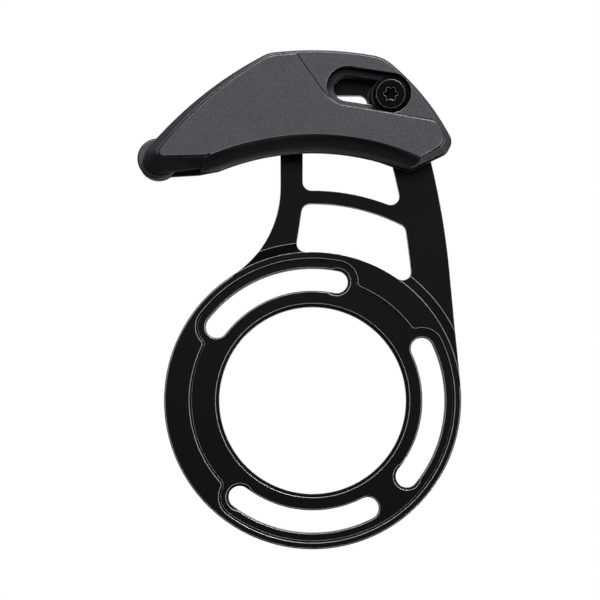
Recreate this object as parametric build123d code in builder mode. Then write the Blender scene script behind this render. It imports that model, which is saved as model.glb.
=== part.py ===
from build123d import *
import os
from math import acos, atan, atan2, cos, degrees, hypot, radians, sin, sqrt, tan

os.makedirs("parts", exist_ok=True)

# Frame: the bore's axis is Y, +Z is up, the origin is the bore's centre on the rear mounting face.
# Depths are measured from that face towards the front, which faces -Y. Sizes are millimetres and degrees.

# Backplate: the ring that goes round the crank axle
BOLT_CIRCLE_R = 33.0
RING_T = 5.0
RING_WALL = 2.35
BORE_WALL = 4.45
MOUNT_SLOT_W = 6.1
MOUNT_SLOT_ANGLE = 64.0
MOUNT_SLOT_MID_ANGLES = (110.5, 265.0, 353.2)
HEAD_POCKET_W = 10.3
HEAD_POCKET_DEPTH = 1.0
HEAD_POCKET_BEVEL = 0.65
HEAD_POCKET_CORNER_R = 2.0
BORE_CHAMFER = 1.0
PLATE_EDGE = 0.3
SLOT_SPOT_RIM = 0.75
SLOT_SPOT_ANGLE = 45.0

# Backplate: the two arms, the crossbar and the top bar
ARM_T = 3.0
STEP_RUN = 2.7
LEFT_EDGE_X = -8.8
LEFT_ARM_W = 6.1
LEFT_BLEND_R = 28.9
LEFT_LEAN_ANGLE = 8.6
RIGHT_LEAN_ANGLE = 5.2
RIGHT_STRAIGHT_L = 31.5
RIGHT_ARM_W = 10.5
LOWER_WINDOW_H = 13.3
CROSSBAR_W = 3.6
TOP_BAR_W = 5.0
TOP_CORNER_R = 7.0
WINDOW_CORNER_R = 2.4

# Guide bolt, its boss and the slot that the guide slides along
BOLT_RISE = 5.53
BOLT_ANGLE = 75.7
BOLT_COVER = 9.57
BOLT_R = 2.5
BOLT_HEAD_R = 4.25
BOLT_HEAD_H = 3.5
BOLT_HEAD_CHAMFER = 0.4
BOLT_END_GAP = 0.3
SOCKET_R = 1.45
SOCKET_LOBE_R = 0.5
SOCKET_DEPTH = 2.0
WASHER_R = 5.0
WASHER_T = 1.0
BOSS_R = 6.1
KEY_W = 8.0
KEY_FLAT = 2.0
KEY_STAND_OFF = 0.2
SLOT_TILT_ANGLE = 8.7
SLOT_TRAVEL = 12.0
SLOT_W = 7.1
SLOT_LIFT = 0.25
COUNTERBORE_W = 10.9
THREAD_CLEARANCE = 0.05
HOLE_CLEARANCE = 0.15

# Inner and outer guide, from back to front
INNER_T = 2.5
CHAIN_W = 8.2
RIM_T = 1.0
BEVEL_H = 4.0
PANEL_H = 1.0
PANEL_EDGE = 0.25

# Outline of the guide: rounds about the bore's centre, a pointed nose and a blunt tail
GUIDE_BOTTOM_R = 66.7
CHAIN_ROOM = 12.8
NOSE_RISE = 10.64
NOSE_ANGLE = 122.4
NOSE_R = 4.1
BROW_R = 104.0
BROW_ANGLE = 97.3
TAIL_ANGLE = 78.3
TAIL_R = 66.0
TAIL_TIP_RISE = 11.73
TAIL_TIP_ANGLE = 60.5
HEEL_ANGLE = 67.2
HEEL_LIFT = 1.0
SOLE_ANGLE = 74.5
BROW_FILLET = 8.0
SHOULDER_FILLET = 11.0
TAIL_FILLET = 3.2
HEEL_FILLET = 1.5
TOE_ANGLE = 112.4
TOE_LIP = 1.3
TOE_LIP_ANGLE = 116.8
TOE_NOTCH = 2.7
TOE_NOTCH_ANGLE = 115.5

# How far the front bevel draws the outline in
BEVEL_TOP = 0.9
BEVEL_BROW = 1.2
BEVEL_TAIL = 2.0
BEVEL_HEEL = 0.8
BEVEL_HEEL_ANGLE = 66.2
BEVEL_NOSE_X = 0.75
BEVEL_NOSE_Z = 1.3
BEVEL_NOSE_R = 2.7
BEVEL_TOE_ANGLE = 113.2
BEVEL_TOE_STEP_ANGLE = 0.6

# Raised panel and the cove below it
COVE_R = 4.7
COVE_END_ANGLE = 115.0
PANEL_INSET = 0.4
PANEL_SLOPE_ANGLE = 10.2
PANEL_RUN = 15.75
PANEL_DIAGONAL_ANGLE = 124.9
PANEL_BEND_R = 10.0
PANEL_TAIL_R = 3.0

# Nose post of the inner guide and the screws through it
POST_SHIFT = -0.6
POST_LIFT = 0.1
POST_R = 5.5
POST_PROUD = 0.9
POST_GAP = 1.2
POST_CHAMFER = 0.4
SPIGOT_R = 3.2
INNER_LIFT = 0.85
CAGE_SCREW_R = 1.45
CAGE_SCREW_HEAD_R = 2.7
CAGE_SCREW_SINK = 0.2
CAGE_SCREW_SOCKET_R = 1.15
CAGE_SCREW_L = 13.0
CAGE_SCREW_TIP_GAP = 0.5
WEB_SCREW_COVER = 7.43
WEB_SCREW_ANGLE = 101.2

# How closely an edge must lie at a level to be picked there
TOLERANCE = 0.01


def front(depth):
    """The sketch plane at a depth in front of the mounting face: x to the right, y up, facing the front."""
    return Plane.XZ.offset(depth)


def polar(radius, angle):
    """A point of the front view at a radius and an angle about the bore's centre."""
    return Vector(radius * cos(radians(angle)), radius * sin(radians(angle)))


def heading(vector):
    """The angle of a vector of the front view, in degrees from +x."""
    return degrees(atan2(vector.Y, vector.X))


def arc_between(centre, radius, start, end):
    """An arc about a centre from one angle to another."""
    return CenterArc(centre, radius, start, end - start)


def level_edges(builder, depth):
    """The edges that lie at a depth in front of the mounting face."""
    return builder.edges().filter_by_position(Axis.Y, -depth - TOLERANCE, -depth + TOLERANCE)


def round_edges(builder, depth, radii):
    """The circular edges at a depth that have one of the radii."""
    circles = level_edges(builder, depth).filter_by(GeomType.CIRCLE)
    return circles.filter_by(lambda e: min(abs(e.radius - radius) for radius in radii) < TOLERANCE)


# Depths worked out from the sizes above
inner_back = ARM_T
inner_front = inner_back + INNER_T
outer_back = inner_front + CHAIN_W
rim_front = outer_back + RIM_T
ledge_front = rim_front + BEVEL_H
panel_front = ledge_front + PANEL_H
washer_front = outer_back + WASHER_T
head_front = washer_front + BOLT_HEAD_H
pocket_floor = RING_T - HEAD_POCKET_DEPTH
spot_depth = (SLOT_SPOT_RIM + PLATE_EDGE) / tan(radians(SLOT_SPOT_ANGLE))
post_front = outer_back - POST_GAP

# Radii and places of the front view, stacked up from the bore and from the guide's lower edge
bore_r = BOLT_CIRCLE_R - MOUNT_SLOT_W / 2 - BORE_WALL
ring_r = BOLT_CIRCLE_R + HEAD_POCKET_W / 2 + RING_WALL
ceiling_r = GUIDE_BOTTOM_R + CHAIN_ROOM
guide_top_r = ceiling_r + BOLT_RISE + BOLT_COVER
panel_bottom_r = GUIDE_BOTTOM_R + COVE_R
bolt = polar(ceiling_r + BOLT_RISE, BOLT_ANGLE)
slide = Vector(cos(radians(SLOT_TILT_ANGLE)), -sin(radians(SLOT_TILT_ANGLE)))
slot_end = bolt + polar(SLOT_LIFT, 90 - SLOT_TILT_ANGLE)
slot_mid = slot_end - slide * (SLOT_TRAVEL / 2)
nose = polar(GUIDE_BOTTOM_R + NOSE_RISE, NOSE_ANGLE)
tail_tip = polar(GUIDE_BOTTOM_R + TAIL_TIP_RISE, TAIL_TIP_ANGLE)
post = nose + Vector(POST_SHIFT, POST_LIFT)
web_screw = polar(guide_top_r - WEB_SCREW_COVER, WEB_SCREW_ANGLE)

# Outline of the backplate: the left edge blends into the ring with one arc
blend_centre_x = LEFT_EDGE_X - LEFT_BLEND_R
blend_centre = Vector(blend_centre_x, sqrt((ring_r + LEFT_BLEND_R) ** 2 - blend_centre_x ** 2))
blend_root = blend_centre * (ring_r / (ring_r + LEFT_BLEND_R))

# The right edge leaves the ring on a tangent, then bends on one arc that ends tangent to the boss
right_normal = polar(1, RIGHT_LEAN_ANGLE)
right_root = polar(ring_r, RIGHT_LEAN_ANGLE)
right_bend = right_root + Vector(-right_normal.Y, right_normal.X) * RIGHT_STRAIGHT_L
to_boss = bolt - right_bend
sweep_r = (BOSS_R ** 2 - to_boss.length ** 2) / (2 * (to_boss.dot(right_normal) + BOSS_R))
sweep_centre = right_bend - right_normal * sweep_r
boss_heading = heading(bolt - sweep_centre)
top_bar_top = bolt.Y + BOSS_R
top_bar_bottom = top_bar_top - TOP_BAR_W
left_inner_x = LEFT_EDGE_X + LEFT_ARM_W

with BuildSketch(front(0)) as arms_outline:
    with BuildLine():
        Line((0, 0), blend_root)
        arc_between(blend_centre, LEFT_BLEND_R, heading(-blend_centre), 0)
        Line((LEFT_EDGE_X, blend_centre.Y), (LEFT_EDGE_X, top_bar_top - TOP_CORNER_R))
        arc_between((LEFT_EDGE_X + TOP_CORNER_R, top_bar_top - TOP_CORNER_R), TOP_CORNER_R, 180, 90)
        Line((LEFT_EDGE_X + TOP_CORNER_R, top_bar_top), (bolt.X, top_bar_top))
        arc_between(bolt, BOSS_R, 90, boss_heading)
        arc_between(sweep_centre, sweep_r, boss_heading, RIGHT_LEAN_ANGLE)
        Line(right_bend, right_root)
        Line(right_root, (0, 0))
    make_face()

# The lower window lies between the ring and the crossbar, the upper one between the crossbar and the top bar
crossbar_inner_r = ring_r + LOWER_WINDOW_H
crossbar_outer_r = crossbar_inner_r + CROSSBAR_W
lean_run = crossbar_inner_r * sin(radians(LEFT_LEAN_ANGLE))

with BuildSketch(front(0)) as lower_window:
    Circle(crossbar_inner_r)
    Circle(ring_r, mode=Mode.SUBTRACT)
    with Locations(sweep_centre):
        Circle(sweep_r - RIGHT_ARM_W, mode=Mode.INTERSECT)
    with BuildLine():
        Polyline(
            (left_inner_x, crossbar_inner_r),
            (left_inner_x - lean_run, 0),
            (ring_r, 0),
            (ring_r, crossbar_inner_r),
            close=True,
        )
    make_face(mode=Mode.INTERSECT)
    fillet(lower_window.vertices(), WINDOW_CORNER_R)

with BuildSketch(front(0)) as upper_window:
    with Locations((left_inner_x, 0)):
        Rectangle(ring_r - left_inner_x, top_bar_bottom, align=(Align.MIN, Align.MIN))
    Circle(crossbar_outer_r, mode=Mode.SUBTRACT)
    with Locations(sweep_centre):
        Circle(sweep_r - RIGHT_ARM_W, mode=Mode.INTERSECT)
    with Locations(bolt):
        Circle(BOSS_R, mode=Mode.SUBTRACT)
    fillet(upper_window.vertices(), WINDOW_CORNER_R)

# The three slots follow one circle; the pocket floor gives each bolt head its room
mount_arcs = [
    CenterArc((0, 0), BOLT_CIRCLE_R, mid - MOUNT_SLOT_ANGLE / 2, MOUNT_SLOT_ANGLE)
    for mid in MOUNT_SLOT_MID_ANGLES
]
gap_start = MOUNT_SLOT_MID_ANGLES[1] + MOUNT_SLOT_ANGLE / 2
gap_end = MOUNT_SLOT_MID_ANGLES[2] - MOUNT_SLOT_ANGLE / 2
joining_arc = CenterArc((0, 0), BOLT_CIRCLE_R, gap_start, gap_end - gap_start)

with BuildSketch(front(0)) as mount_slots:
    for arc in mount_arcs:
        SlotArc(arc, MOUNT_SLOT_W)

with BuildSketch(front(pocket_floor)) as head_pocket:
    Circle(BOLT_CIRCLE_R)
    for arc in mount_arcs + [joining_arc]:
        SlotArc(arc, HEAD_POCKET_W)
    pocket_corners = head_pocket.vertices().filter_by(
        lambda v: abs(hypot(v.X, v.Y) - BOLT_CIRCLE_R) < HEAD_POCKET_CORNER_R / 10
    )
    fillet(pocket_corners, HEAD_POCKET_CORNER_R)

# The arms lie lower than the ring's face, with a cone between the two levels
with BuildPart() as arm_step:
    extrude(arms_outline.sketch, amount=RING_T)
    with BuildSketch(front(ARM_T)):
        Circle(ring_r + STEP_RUN)
    extrude(amount=RING_T - ARM_T, taper=degrees(atan(STEP_RUN / (RING_T - ARM_T))), mode=Mode.INTERSECT)

with BuildPart() as backplate:
    with BuildSketch(front(0)):
        Circle(ring_r)
    extrude(amount=RING_T)
    chamfer(round_edges(backplate, RING_T, (ring_r,)), PLATE_EDGE)
    extrude(arms_outline.sketch, amount=ARM_T)
    add(arm_step.part)
    extrude(lower_window.sketch, amount=RING_T, mode=Mode.SUBTRACT)
    extrude(upper_window.sketch, amount=RING_T, mode=Mode.SUBTRACT)
    extrude(head_pocket.sketch, amount=HEAD_POCKET_DEPTH, mode=Mode.SUBTRACT)
    with BuildSketch(front(0)):
        Circle(bore_r)
    extrude(amount=RING_T, mode=Mode.SUBTRACT)
    extrude(mount_slots.sketch, amount=RING_T, mode=Mode.SUBTRACT)
    pocket_reach = BOLT_CIRCLE_R + HEAD_POCKET_W / 2 + PLATE_EDGE
    pocket_rim = level_edges(backplate, RING_T).filter_by(
        lambda e: hypot(e.center().X, e.center().Z) < pocket_reach
    )
    chamfer(pocket_rim, HEAD_POCKET_BEVEL)
    chamfer(round_edges(backplate, pocket_floor, (bore_r,)), BORE_CHAMFER)
    slot_radii = (BOLT_CIRCLE_R - MOUNT_SLOT_W / 2, BOLT_CIRCLE_R + MOUNT_SLOT_W / 2, MOUNT_SLOT_W / 2)
    chamfer(round_edges(backplate, pocket_floor, slot_radii), PLATE_EDGE)
    with BuildSketch(front(pocket_floor)):
        with Locations(*[polar(BOLT_CIRCLE_R, mid - MOUNT_SLOT_ANGLE / 2) for mid in MOUNT_SLOT_MID_ANGLES]):
            Circle(MOUNT_SLOT_W / 2 + SLOT_SPOT_RIM)
    extrude(amount=-spot_depth, taper=SLOT_SPOT_ANGLE, mode=Mode.SUBTRACT)
    with BuildSketch(front(ARM_T)):
        with Locations(bolt - slide * (KEY_FLAT / 2)):
            SlotCenterToCenter(KEY_FLAT, KEY_W, rotation=-SLOT_TILT_ANGLE)
    extrude(amount=INNER_T - KEY_STAND_OFF)
    with BuildSketch(front(0)):
        with Locations(bolt):
            Circle(BOLT_R + THREAD_CLEARANCE)
    extrude(amount=ARM_T + INNER_T, mode=Mode.SUBTRACT)

backplate.part.label = "backplate"
export_step(backplate.part, "parts/backplate.step")


def guide_outline(top, brow, tail, heel_rise, heel, nose_at, nose_r, bottom_r, toe):
    """Outline of the guide, its sides drawn in; toe lists the corners between the nose and the bottom arc."""
    top_r = guide_top_r - top
    shoulder = polar(top_r, TAIL_ANGLE)
    brow_corner = polar(top_r, BROW_ANGLE)
    tail_corner = tail_tip + Vector(-tail, heel_rise)

    # The brow's arc starts at the brow corner and ends tangent to the round of the nose
    chord = nose_at - brow_corner
    reach = chord.length
    bow_r = BROW_R - brow
    along = (bow_r ** 2 - (bow_r - nose_r) ** 2 + reach ** 2) / (2 * reach)
    side = chord.normalized()
    inward = Vector(-side.Y, side.X)
    brow_centre = brow_corner + side * along + inward * sqrt(bow_r ** 2 - along ** 2)
    nose_heading = heading(nose_at - brow_centre)

    # The foot's line leaves the round of the nose on a tangent
    to_toe = toe[0] - nose_at
    foot_heading = heading(to_toe) - degrees(acos(nose_r / to_toe.length))
    foot_start = nose_at + polar(nose_r, foot_heading)

    with BuildSketch() as outline:
        with BuildLine():
            arc_between((0, 0), top_r, TAIL_ANGLE, BROW_ANGLE)
            arc_between(brow_centre, bow_r, heading(brow_corner - brow_centre), nose_heading)
            arc_between(nose_at, nose_r, nose_heading, foot_heading + 360)
            Polyline(foot_start, *toe)
            arc_between((0, 0), bottom_r, heading(toe[-1]), SOLE_ANGLE)
            Polyline(polar(bottom_r, SOLE_ANGLE), heel, tail_corner)
            RadiusArc(tail_corner, shoulder, -(TAIL_R - tail))
        make_face()
        corners = ((shoulder, SHOULDER_FILLET), (brow_corner, BROW_FILLET), (tail_corner, TAIL_FILLET))
        for corner, radius in corners + ((heel, HEEL_FILLET),):
            fillet(outline.vertices().sort_by_distance(Vector(corner.X, corner.Y, 0))[0], radius)
    return outline.sketch


rim_outline = guide_outline(
    top=0, brow=0, tail=0, heel_rise=0, heel=polar(GUIDE_BOTTOM_R + HEEL_LIFT, HEEL_ANGLE),
    nose_at=nose, nose_r=NOSE_R, bottom_r=GUIDE_BOTTOM_R,
    toe=[
        polar(GUIDE_BOTTOM_R + TOE_NOTCH, TOE_NOTCH_ANGLE),
        polar(GUIDE_BOTTOM_R + TOE_LIP, TOE_LIP_ANGLE),
        polar(GUIDE_BOTTOM_R, TOE_ANGLE),
    ],
)


def drawn_in(inset):
    """Outline of the front of the bevel, drawn in further by an inset."""
    bottom_r = panel_bottom_r - PANEL_H + inset
    return guide_outline(
        top=BEVEL_TOP + inset, brow=BEVEL_BROW + inset, tail=BEVEL_TAIL + inset,
        heel_rise=BEVEL_HEEL + inset, heel=polar(bottom_r, BEVEL_HEEL_ANGLE),
        nose_at=nose + Vector(BEVEL_NOSE_X + inset, BEVEL_NOSE_Z),
        nose_r=NOSE_R - BEVEL_NOSE_R - inset / 2, bottom_r=bottom_r,
        toe=[
            polar(bottom_r + PANEL_H, BEVEL_TOE_ANGLE + BEVEL_TOE_STEP_ANGLE),
            polar(bottom_r + PANEL_H, BEVEL_TOE_ANGLE),
            polar(bottom_r, TOE_ANGLE),
        ],
    )


# Part of the front that stays at the lower level, above the panel's diagonal and its upper edge
panel_edge_way = polar(1, -PANEL_SLOPE_ANGLE)
panel_edge_start = slot_end + polar(COUNTERBORE_W / 2, -90 - SLOT_TILT_ANGLE)
panel_bend = panel_edge_start - panel_edge_way * PANEL_RUN
far = guide_top_r

with BuildSketch() as slot_zone:
    with BuildLine():
        Polyline(
            panel_bend + polar(far, PANEL_DIAGONAL_ANGLE),
            panel_bend,
            panel_bend + panel_edge_way * far,
            panel_bend + panel_edge_way * far + Vector(0, far),
            close=True,
        )
    make_face()
    fillet(slot_zone.vertices().sort_by_distance(Vector(panel_bend.X, panel_bend.Y, 0))[0], PANEL_BEND_R)

with BuildSketch(front(ledge_front)) as panel_outline:
    add(drawn_in(PANEL_INSET))
    add(slot_zone.sketch, mode=Mode.SUBTRACT)
    upper_edge = panel_outline.vertices().filter_by(
        lambda v: abs((Vector(v.X, v.Y) - panel_bend).cross(panel_edge_way).Z) < TOLERANCE
    )
    edge_end = upper_edge.sort_by(Axis.X)[-1]
    beside = panel_outline.edges().filter_by(lambda e: e.distance_to(edge_end) < TOLERANCE)
    fillet(edge_end, min(PANEL_TAIL_R, beside.sort_by(SortBy.LENGTH)[0].length))

# Roof over the chain: straight to the rear of the bore's centre, round the chainring in front of it
with BuildSketch(front(inner_front)) as roof_outline:
    add(rim_outline)
    Circle(ceiling_r, mode=Mode.SUBTRACT)
    Rectangle(far, ceiling_r, align=(Align.MAX, Align.MIN), mode=Mode.SUBTRACT)

with BuildPart() as outer_guide:
    with BuildSketch(front(outer_back)):
        add(rim_outline)
    extrude(amount=RIM_T)
    with BuildSketch(front(rim_front)):
        add(rim_outline)
    with BuildSketch(front(ledge_front)):
        add(drawn_in(0))
    loft(ruled=True)
    extrude(panel_outline.sketch, amount=PANEL_H)
    chamfer(outer_guide.faces().sort_by(Axis.Y)[0].edges(), PANEL_EDGE)
    extrude(roof_outline.sketch, amount=CHAIN_W)
    with BuildSketch(front(post_front)):
        with Locations(post):
            Circle(SPIGOT_R)
    extrude(amount=POST_GAP)
    with BuildSketch(Plane.XY):
        with Locations((GUIDE_BOTTOM_R, -panel_front)):
            Circle(COVE_R)
    revolve(axis=Axis((0, 0, 0), (0, -1, 0)), revolution_arc=COVE_END_ANGLE, mode=Mode.SUBTRACT)
    with Locations(front(panel_front).from_local_coords(polar(GUIDE_BOTTOM_R, COVE_END_ANGLE))):
        Sphere(COVE_R, mode=Mode.SUBTRACT)
    with BuildSketch(front(outer_back)):
        with Locations(slot_mid):
            SlotCenterToCenter(SLOT_TRAVEL, COUNTERBORE_W, rotation=-SLOT_TILT_ANGLE)
    extrude(amount=panel_front - outer_back, mode=Mode.SUBTRACT)
    with BuildSketch(front(inner_front)):
        with Locations(slot_mid):
            SlotCenterToCenter(SLOT_TRAVEL, SLOT_W, rotation=-SLOT_TILT_ANGLE)
    extrude(amount=CHAIN_W, mode=Mode.SUBTRACT)
    with BuildSketch(front(inner_front)):
        with Locations(post, web_screw):
            Circle(CAGE_SCREW_R + THREAD_CLEARANCE)
    extrude(amount=CAGE_SCREW_L - INNER_T + CAGE_SCREW_TIP_GAP, mode=Mode.SUBTRACT)

outer_guide.part.label = "outer_guide"
export_step(outer_guide.part, "parts/outer_guide.step")

inner_bottom_r = GUIDE_BOTTOM_R + INNER_LIFT
inner_outline = guide_outline(
    top=0, brow=0, tail=0, heel_rise=0, heel=polar(inner_bottom_r, HEEL_ANGLE),
    nose_at=post, nose_r=POST_R - POST_PROUD, bottom_r=inner_bottom_r,
    toe=[polar(inner_bottom_r + TOE_LIP, TOE_LIP_ANGLE), polar(inner_bottom_r, TOE_ANGLE)],
)
screw_seats = [
    Plane(origin=(spot.X, -inner_back, spot.Y), x_dir=(1, 0, 0), z_dir=(0, 1, 0))
    for spot in (post, web_screw)
]

with BuildPart() as inner_guide:
    with BuildSketch(front(inner_back)):
        add(inner_outline)
    extrude(amount=INNER_T)
    with BuildSketch(front(inner_back)):
        with Locations(post):
            Circle(POST_R)
    extrude(amount=post_front - inner_back)
    chamfer(inner_guide.edges().sort_by(Axis.Y)[0], POST_CHAMFER)
    with BuildSketch(front(inner_back)):
        with Locations(bolt - slide * ((SLOT_TRAVEL + KEY_FLAT) / 2)):
            SlotCenterToCenter(
                SLOT_TRAVEL + KEY_FLAT, KEY_W + 2 * HOLE_CLEARANCE, rotation=-SLOT_TILT_ANGLE
            )
    extrude(amount=INNER_T, mode=Mode.SUBTRACT)
    with Locations(*screw_seats):
        CounterSinkHole(
            CAGE_SCREW_R + HOLE_CLEARANCE, CAGE_SCREW_HEAD_R + CAGE_SCREW_SINK, counter_sink_angle=90
        )

inner_guide.part.label = "inner_guide"
export_step(inner_guide.part, "parts/inner_guide.step")

screw_heads = [seat.offset(-CAGE_SCREW_SINK) for seat in screw_seats]
screw_head_h = CAGE_SCREW_HEAD_R - CAGE_SCREW_R
from_the_top = (Align.CENTER, Align.CENTER, Align.MAX)

with BuildPart() as cage_screws:
    with Locations(*screw_heads):
        Cylinder(CAGE_SCREW_R, CAGE_SCREW_L - CAGE_SCREW_SINK, align=from_the_top)
        Cone(CAGE_SCREW_R, CAGE_SCREW_HEAD_R, screw_head_h, align=from_the_top)
    with BuildSketch(*screw_heads):
        RegularPolygon(CAGE_SCREW_SOCKET_R, 6)
    extrude(amount=-screw_head_h, mode=Mode.SUBTRACT)

cage_screws.part.label = "cage_screws"
export_step(cage_screws.part, "parts/cage_screws.step")

with BuildPart() as guide_bolt:
    with BuildSketch(front(BOLT_END_GAP)):
        with Locations(bolt):
            Circle(BOLT_R)
    extrude(amount=washer_front - BOLT_END_GAP)
    with BuildSketch(front(washer_front)):
        with Locations(bolt):
            Circle(BOLT_HEAD_R)
    extrude(amount=BOLT_HEAD_H)
    chamfer(guide_bolt.edges().sort_by(Axis.Y)[0], BOLT_HEAD_CHAMFER)
    with BuildSketch(front(head_front - SOCKET_DEPTH)):
        with Locations(bolt):
            Circle(SOCKET_R)
            with PolarLocations(SOCKET_R, 6):
                Circle(SOCKET_LOBE_R)
    extrude(amount=SOCKET_DEPTH, mode=Mode.SUBTRACT)

guide_bolt.part.label = "guide_bolt"
export_step(guide_bolt.part, "parts/guide_bolt.step")

with BuildPart() as bolt_washer:
    with BuildSketch(front(outer_back)):
        with Locations(bolt):
            Circle(WASHER_R)
            Circle(BOLT_R + HOLE_CLEARANCE, mode=Mode.SUBTRACT)
    extrude(amount=WASHER_T)

bolt_washer.part.label = "bolt_washer"
export_step(bolt_washer.part, "parts/bolt_washer.step")
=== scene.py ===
from math import radians

import bpy
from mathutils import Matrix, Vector

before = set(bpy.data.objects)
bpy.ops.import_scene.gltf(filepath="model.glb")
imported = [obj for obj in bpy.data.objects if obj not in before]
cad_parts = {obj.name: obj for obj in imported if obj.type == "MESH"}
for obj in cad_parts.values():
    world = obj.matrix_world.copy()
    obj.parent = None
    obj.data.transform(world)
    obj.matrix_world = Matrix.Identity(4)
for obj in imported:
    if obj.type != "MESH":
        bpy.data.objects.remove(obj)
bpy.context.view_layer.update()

MM = 0.001
WHITE = (1, 1, 1, 1)

# Camera of the photograph: long lens, level with the ring, looking up a little
CAMERA_AT = (-0.0034446, -0.905335, -0.011969)
CAMERA_LOOKS_UP = 2.5
CAMERA_LENS = 198.31
CAMERA_SENSOR = 36.0

# Each light's place, aim, size and power; the low one looks straight up, so it misses the floor
MIDDLE = (0, 0, 0.03)
LIGHTS = {
    "key_light": ((0.3, -0.66, 0.85), MIDDLE, (0.5, 0.3), 13),
    "front_light": ((0.15, -1.3, 0.36), MIDDLE, (0.9, 0.44), 4.4),
    "top_light": ((0, -0.05, 0.8), MIDDLE, (0.7, 0.06), 1.5),
    "low_light": ((0.16, 0.13, -0.12), (0.16, 0.13, 0.06), (0.1, 0.1), 0.95),
}
ROOM_LIGHT = 0.02

# Floor below the part, clear of the photograph's frame; its glow for the camera grows outwards
FLOOR_Z = -0.15
FLOOR_HALF = 1.6
FLOOR_COLOUR = (0.82, 0.82, 0.81, 1)
FLOOR_ROUGHNESS = 0.9
FLOOR_GLOW = 0.2
FLOOR_NEAR = 0.2
FLOOR_FAR = 0.7

# Noise patterns, the middle of them that is spread, and the shares of grain and clouds in colour
NOISE_DETAIL = 3
NOISE_ROUGHNESS = 0.6
NOISE_LOW = 0.3
NOISE_HIGH = 0.7
GRAIN_SHARE = 0.8
CLOUD_SHARE = 0.2

# Rays that feel for a rounded edge or an inside corner
FEELERS = 8

# A rounded edge is painted lighter, as highlight and wear, from where its normal starts to turn
# to where it has turned, as cosines
PAINTED_EDGE_STARTS = 0.999
PAINTED_EDGE_FULL = 0.965

# An inside corner is shut at one share of open sky and open at the other, within a short reach; a
# shut corner is painted darker as shade
CORNER_REACH = 0.6 * MM
CORNER_SHUT = 0.7
CORNER_OPEN = 0.92
CORNER_SHADE = 0.3

# Faces that look this far to the front get the mould's grain and lighter colours; bevels and
# coves are smoother and painted darker as shade
GRAINED_AND_LIT_STARTS = -0.93
GRAINED_AND_LIT_FULL = -0.98
SMOOTH_BUMP = 0.3

# The guide's edges get the most painted highlight where they look up, or down to the front of the
# bicycle
HIGHLIGHT_WAYS = ((0, 0, 1), (0.64, 0, -0.77))
LOOKS_ASIDE = 0.62
LOOKS_THERE = 0.98
HIGHLIGHT_LEAST = 0.1


def link(tree, source, output, target, socket):
    tree.links.new(source.outputs[output], target.inputs[socket])


def add_node(tree, kind, **inputs):
    """A shader node with the given values on its input sockets."""
    made = tree.nodes.new(kind)
    for name, value in inputs.items():
        made.inputs[name.replace("_", " ")].default_value = value
    return made


def operator(tree, operation, kind="ShaderNodeMath"):
    """A math node, or a vector math node, set to an operation."""
    made = tree.nodes.new(kind)
    made.operation = operation
    return made


def vector_operator(tree, operation):
    return operator(tree, operation, "ShaderNodeVectorMath")


def product(tree, source, output, other, other_output):
    made = operator(tree, "MULTIPLY")
    link(tree, source, output, made, 0)
    link(tree, other, other_output, made, 1)
    return made


def noise(tree, coords, scale):
    """A noise pattern in the part's own metres."""
    made = add_node(
        tree, "ShaderNodeTexNoise", Scale=scale, Detail=NOISE_DETAIL, Roughness=NOISE_ROUGHNESS
    )
    link(tree, coords, "Object", made, "Vector")
    return made


def spread(tree, source, low, high):
    """A value that runs from low to high over the middle of a noise pattern."""
    made = add_node(
        tree, "ShaderNodeMapRange",
        From_Min=NOISE_LOW, From_Max=NOISE_HIGH, To_Min=low, To_Max=high,
    )
    link(tree, source, "Fac", made, "Value")
    return made


def mixed_colour(tree, factor, *colours):
    """Two colours mixed by a factor; each may be the output of another node."""
    made = tree.nodes.new("ShaderNodeMix")
    made.data_type = "RGBA"
    sockets = [socket for socket in made.inputs if socket.type == "RGBA"]
    for socket, colour in zip(sockets, colours):
        if isinstance(colour, tuple):
            socket.default_value = (*colour, 1)
        else:
            tree.links.new(colour, socket)
    tree.links.new(factor, made.inputs[0])
    return [socket for socket in made.outputs if socket.type == "RGBA"][0]


def edge_highlight_by_way(tree, bevel):
    """The share of painted edge highlight that an edge gets for the way its rounded normal looks.
    """
    across = vector_operator(tree, "MULTIPLY")
    across.inputs[1].default_value = (1, 0, 1)
    link(tree, bevel, "Normal", across, 0)
    outward = vector_operator(tree, "NORMALIZE")
    link(tree, across, "Vector", outward, 0)
    nearest = operator(tree, "MAXIMUM")
    for socket, way in enumerate(HIGHLIGHT_WAYS):
        looks = vector_operator(tree, "DOT_PRODUCT")
        looks.inputs[1].default_value = way
        link(tree, outward, "Vector", looks, 0)
        link(tree, looks, "Value", nearest, socket)
    share = add_node(
        tree, "ShaderNodeMapRange",
        From_Min=LOOKS_ASIDE, From_Max=LOOKS_THERE, To_Min=HIGHLIGHT_LEAST, To_Max=1.0,
    )
    link(tree, nearest, "Value", share, "Value")
    return share


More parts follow.
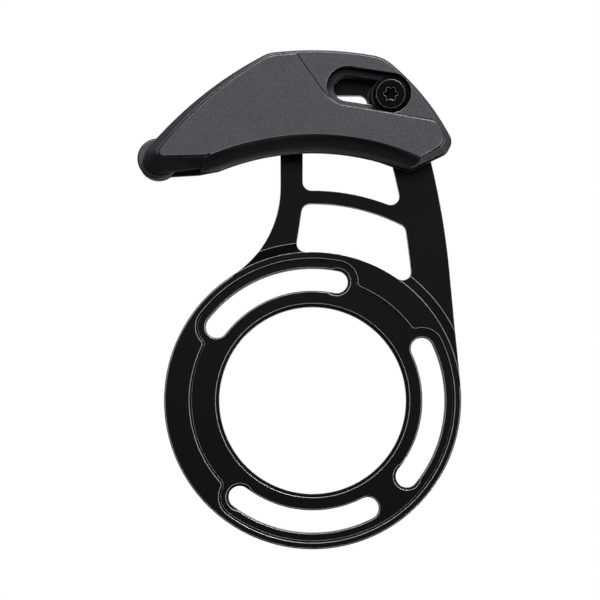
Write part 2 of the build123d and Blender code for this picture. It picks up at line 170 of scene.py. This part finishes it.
def surface(
    name, dark, light, edge, roughness, specular, grain, grain_depth, cloud, edge_width,
    edge_metal=None, front=None,
):
    """A finish with grain in its colour, bump and roughness, and rounded edges painted lighter as
    highlight and wear.

    A moulded finish has a front pair of colours, dark and light, for the grained faces that
    look to the front, its other faces keep darker colours as painted shade, and its edge
    highlights are painted by the way they look.
    """
    made = bpy.data.materials.new(name)
    made.use_nodes = True
    tree = made.node_tree
    shader = tree.nodes["Principled BSDF"]
    shader.inputs["Specular IOR Level"].default_value = specular
    coords = tree.nodes.new("ShaderNodeTexCoord")
    fine = noise(tree, coords, 1 / grain)
    wide = noise(tree, coords, 1 / cloud)

    # Rounded edges and the grain meet in the normal
    bevel = add_node(tree, "ShaderNodeBevel", Radius=edge_width)
    bevel.samples = FEELERS
    bump = add_node(tree, "ShaderNodeBump", Strength=1.0, Distance=grain_depth)
    link(tree, fine, "Fac", bump, "Height")
    link(tree, bevel, "Normal", bump, "Normal")
    link(tree, bump, "Normal", shader, "Normal")

    # Roughness follows the grain
    link(tree, spread(tree, fine, *roughness), "Result", shader, "Roughness")

    # Colour follows the grain and drifts in clouds
    pattern = operator(tree, "ADD")
    link(tree, spread(tree, fine, 0, GRAIN_SHARE), "Result", pattern, 0)
    link(tree, spread(tree, wide, 0, CLOUD_SHARE), "Result", pattern, 1)
    body = mixed_colour(tree, pattern.outputs["Value"], dark, light)

    # Faces that look to the front have their own lighter colours and the full grain; other faces
    # keep darker colours as painted shade
    if front:
        facing = tree.nodes.new("ShaderNodeSeparateXYZ")
        link(tree, coords, "Normal", facing, 0)
        grained_and_lit = add_node(
            tree, "ShaderNodeMapRange", From_Min=GRAINED_AND_LIT_STARTS, From_Max=GRAINED_AND_LIT_FULL
        )
        link(tree, facing, "Y", grained_and_lit, "Value")
        front_body = mixed_colour(tree, pattern.outputs["Value"], *front)
        body = mixed_colour(tree, grained_and_lit.outputs["Result"], body, front_body)
        depth = add_node(tree, "ShaderNodeMapRange", To_Min=SMOOTH_BUMP, To_Max=1.0)
        link(tree, grained_and_lit, "Result", depth, "Value")
        link(tree, depth, "Result", bump, "Strength")

    # Edges are painted lighter where the rounded normal leaves the flat one: a painted highlight,
    # and wear
    geometry = tree.nodes.new("ShaderNodeNewGeometry")
    turned = vector_operator(tree, "DOT_PRODUCT")
    link(tree, bevel, "Normal", turned, 0)
    link(tree, geometry, "True Normal", turned, 1)
    rounded = add_node(tree, "ShaderNodeMapRange", From_Min=PAINTED_EDGE_STARTS, From_Max=PAINTED_EDGE_FULL)
    link(tree, turned, "Value", rounded, "Value")

    # Inside corners get no painted edge highlight and are painted darker as shade
    corner = add_node(tree, "ShaderNodeAmbientOcclusion", Distance=CORNER_REACH)
    corner.samples = FEELERS
    open_side = add_node(tree, "ShaderNodeMapRange", From_Min=CORNER_SHUT, From_Max=CORNER_OPEN)
    link(tree, corner, "AO", open_side, "Value")
    shaded = tuple(CORNER_SHADE * value for value in dark)
    body = mixed_colour(tree, open_side.outputs["Result"], shaded, body)

    edge_highlight_and_wear = product(tree, rounded, "Result", open_side, "Result")
    # On moulded parts the painted edge highlight is kept where edges look up or down to the side,
    # where the lamps would catch them
    if front:
        edge_highlight_and_wear = product(tree, edge_highlight_and_wear, "Value", edge_highlight_by_way(tree, bevel), "Result")
    colour = mixed_colour(tree, edge_highlight_and_wear.outputs["Value"], body, edge)
    tree.links.new(colour, shader.inputs["Base Color"])
    if edge_metal:
        bare = operator(tree, "MULTIPLY")
        bare.inputs[1].default_value = edge_metal
        link(tree, edge_highlight_and_wear, "Value", bare, 0)
        link(tree, bare, "Value", shader, "Metallic")
    return made


# Each finish's edge colour paints highlight lines along rounded edges, and stands for wear too
anodised = surface(
    "black_anodised",
    dark=(0.0012, 0.0012, 0.0013), light=(0.003, 0.003, 0.0032), edge=(0.7, 0.7, 0.71),
    roughness=(0.25, 0.35), specular=0.045,
    grain=0.25 * MM, grain_depth=0.003 * MM, cloud=12 * MM,
    edge_width=0.2 * MM, edge_metal=0.25,
)
grey_nylon = surface(
    "grey_nylon",
    dark=(0.032, 0.033, 0.035), light=(0.052, 0.053, 0.056), edge=(0.62, 0.625, 0.64),
    roughness=(0.7, 0.8), specular=0.02,
    grain=0.6 * MM, grain_depth=0.03 * MM, cloud=6 * MM,
    edge_width=0.18 * MM,
    # Lighter front colours; the plain dark and light above are painted shade on bevels and coves
    front=((0.064, 0.066, 0.072), (0.106, 0.11, 0.12)),
)
black_steel = surface(
    "black_steel",
    dark=(0.0015, 0.0015, 0.0016), light=(0.003, 0.003, 0.0032), edge=(0.3, 0.3, 0.3),
    roughness=(0.3, 0.4), specular=0.015,
    grain=0.15 * MM, grain_depth=0.004 * MM, cloud=2 * MM,
    edge_width=0.12 * MM, edge_metal=0.75,
)

FINISHES = {
    "backplate": anodised,
    "outer_guide": grey_nylon,
    "inner_guide": grey_nylon,
    "cage_screws": black_steel,
    "guide_bolt": black_steel,
    "bolt_washer": black_steel,
}
for node_name, finish in FINISHES.items():
    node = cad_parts[node_name]
    node.data.materials.clear()
    node.data.materials.append(finish)


def softbox(name, at, towards, size, power):
    """A rectangular studio light that the camera doesn't see."""
    data = bpy.data.lights.new(name, "AREA")
    data.shape = "RECTANGLE"
    data.size, data.size_y = size
    data.energy = power
    lamp = bpy.data.objects.new(name, data)
    lamp.location = at
    aim = Vector(towards) - Vector(at)
    lamp.rotation_euler = aim.to_track_quat("-Z", "Y").to_euler()
    lamp.visible_camera = False
    bpy.context.scene.collection.objects.link(lamp)


for light_name, setting in LIGHTS.items():
    softbox(light_name, *setting)


def seen_by(tree, *ray_kinds):
    """A factor that is 1 for rays of these kinds and 0 for the rest."""
    rays = tree.nodes.new("ShaderNodeLightPath")
    factor = rays.outputs[ray_kinds[0]]
    for kind in ray_kinds[1:]:
        larger = operator(tree, "MAXIMUM")
        tree.links.new(factor, larger.inputs[0])
        tree.links.new(rays.outputs[kind], larger.inputs[1])
        factor = larger.outputs[0]
    return factor


# White backdrop for the camera and in what the part mirrors, and a dim room for its light
world = bpy.data.worlds.new("studio")
bpy.context.scene.world = world
world.use_nodes = True
sky = world.node_tree
room = sky.nodes["Background"]
room.inputs["Color"].default_value = WHITE
room.inputs["Strength"].default_value = ROOM_LIGHT
backdrop = sky.nodes.new("ShaderNodeBackground")
backdrop.inputs["Color"].default_value = WHITE
chooser = sky.nodes.new("ShaderNodeMixShader")
shown = seen_by(sky, "Is Camera Ray", "Is Glossy Ray", "Is Transmission Ray")
sky.links.new(shown, chooser.inputs[0])
sky.links.new(room.outputs[0], chooser.inputs[1])
sky.links.new(backdrop.outputs[0], chooser.inputs[2])
sky.links.new(chooser.outputs[0], sky.nodes["World Output"].inputs["Surface"])

# The floor's far parts pass into the white backdrop
paper = bpy.data.materials.new("paper")
paper.use_nodes = True
sheet = paper.node_tree
paper_shader = sheet.nodes["Principled BSDF"]
paper_shader.inputs["Base Color"].default_value = FLOOR_COLOUR
paper_shader.inputs["Roughness"].default_value = FLOOR_ROUGHNESS
paper_shader.inputs["Emission Color"].default_value = WHITE
place = sheet.nodes.new("ShaderNodeTexCoord")
distance = vector_operator(sheet, "LENGTH")
link(sheet, place, "Object", distance, 0)
far = add_node(
    sheet, "ShaderNodeMapRange",
    From_Min=FLOOR_NEAR, From_Max=FLOOR_FAR, To_Min=FLOOR_GLOW, To_Max=1.0,
)
link(sheet, distance, "Value", far, "Value")
glow = operator(sheet, "MULTIPLY")
sheet.links.new(seen_by(sheet, "Is Camera Ray"), glow.inputs[0])
link(sheet, far, "Result", glow, 1)
link(sheet, glow, "Value", paper_shader, "Emission Strength")

# The floor shows to the camera and takes the shadow, and throws no light up into the cove
floor_mesh = bpy.data.meshes.new("floor")
corners = ((-1, -1), (1, -1), (1, 1), (-1, 1))
floor_mesh.from_pydata(
    [(x * FLOOR_HALF, y * FLOOR_HALF, FLOOR_Z) for x, y in corners], [], [(0, 1, 2, 3)]
)
floor_mesh.materials.append(paper)
floor = bpy.data.objects.new("floor", floor_mesh)
bpy.context.scene.collection.objects.link(floor)
floor.visible_diffuse = False
floor.visible_glossy = False

camera_data = bpy.data.cameras.new("camera")
camera_data.lens = CAMERA_LENS
camera_data.sensor_width = CAMERA_SENSOR
camera = bpy.data.objects.new("camera", camera_data)
camera.location = CAMERA_AT
camera.rotation_euler = (radians(90 + CAMERA_LOOKS_UP), 0, 0)
bpy.context.scene.collection.objects.link(camera)
bpy.context.scene.camera = camera
bpy.context.scene.view_settings.view_transform = "Standard"
